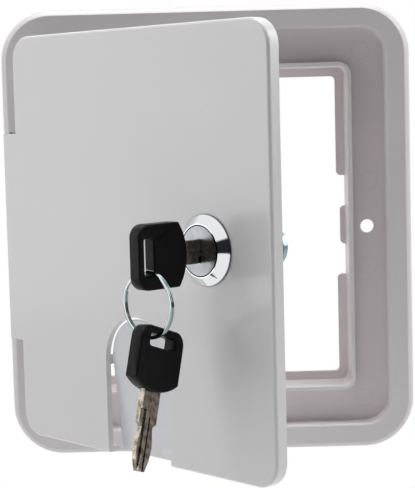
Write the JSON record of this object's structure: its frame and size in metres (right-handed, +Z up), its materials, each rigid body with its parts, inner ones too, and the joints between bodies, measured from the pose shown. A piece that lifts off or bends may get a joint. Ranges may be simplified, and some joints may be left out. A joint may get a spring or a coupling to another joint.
{
  "type": "rv power cord hatch",
  "caption": "Lockable wall hatch for a caravan's power cord: hollow-banded frame with a through collar, pin-hinged door ajar, cam lock with keys on a ring, and a swinging cord flap.",
  "frame": {"origin": "centre of the frame's back face, where it lies on the wall", "axes": "+X right and +Z up seen from outside, -Y out of the wall towards the viewer; the wall is the plane Y = 0"},
  "size_m": [0.1637, 0.1345, 0.18],
  "materials": {
    "frame_white": "smooth white ASA moulding, satin gloss",
    "door_white": "polished white ASA moulding, high gloss",
    "pin_steel": "drawn stainless steel wire",
    "flap_white": "polished white ASA moulding, high gloss",
    "bezel_chrome": "polished chrome plating on a zinc casting",
    "plug_chrome": "dulled chrome plating on a zinc casting",
    "wafer_brass": "blanked brass sheet",
    "spring_steel": "plain spring steel",
    "nut_zinc": "bright zinc plated steel",
    "cam_zinc": "bluish zinc plated steel plate",
    "key_nickel": "nickel plated brass, milled and cut",
    "bow_black": "black ABS moulding, satin",
    "ring_steel": "nickel plated spring steel"
  },
  "bodies": {
    "frame": {"frame": "frame_white", "hinge_pin": "pin_steel"},
    "door": {"door": "door_white", "flap_pin": "pin_steel", "lock_body": "bezel_chrome", "lock_nut": "nut_zinc", "nut_washer": "nut_zinc"},
    "flap": {"cord_flap": "flap_white"},
    "plug": {"lock_plug": "plug_chrome", "wafer_1": "wafer_brass", "wafer_2": "wafer_brass", "wafer_3": "wafer_brass", "wafer_4": "wafer_brass", "wafer_5": "wafer_brass", "wafer_6": "wafer_brass", "wafer_spring_1": "spring_steel", "wafer_spring_2": "spring_steel", "wafer_spring_3": "spring_steel", "wafer_spring_4": "spring_steel", "wafer_spring_5": "spring_steel", "wafer_spring_6": "spring_steel", "plug_clip": "spring_steel", "cam": "cam_zinc", "cam_washer": "nut_zinc", "cam_screw": "nut_zinc"},
    "key_1": {"key_1_blade": "key_nickel", "key_1_bow": "bow_black"},
    "ring": {"split_ring": "ring_steel"},
    "key_2": {"key_2_blade": "key_nickel", "key_2_bow": "bow_black"}
  },
  "joints": [
    {"name": "door_hinge", "type": "hinge", "parent": "frame", "child": "door", "pos_m": [-0.0794, -0.0063, 0], "axis": [0, 0, -1], "range_deg": [-46.4, 103.6]},
    {"name": "flap_hinge", "type": "hinge", "parent": "door", "child": "flap", "pos_m": [-0.0245, -0.06366, -0.04385], "axis": [0.6896, -0.7242, 0], "range_deg": [-90.8, 60]},
    {"name": "plug_turn", "type": "hinge", "parent": "door", "child": "plug", "pos_m": [-0.00072, -0.09501, 0.0007], "axis": [0.7242, 0.6896, 0], "range_deg": [0, 90]},
    {"name": "key_slide", "type": "slide", "parent": "plug", "child": "key_1", "axis": [-0.7242, -0.6896, 0], "range_m": [0, 0.03]},
    {"name": "ring_swing", "type": "hinge", "parent": "key_1", "child": "ring", "pos_m": [-0.02042, -0.11377, -0.0041], "axis": [-0.6896, 0.7242, 0], "range_deg": [-12, 60]},
    {"name": "key_2_swing", "type": "hinge", "parent": "ring", "child": "key_2", "pos_m": [-0.02042, -0.11377, -0.0264], "axis": [-0.788, 0.6134, -0.0523], "range_deg": [-18, 36]}
  ]
}
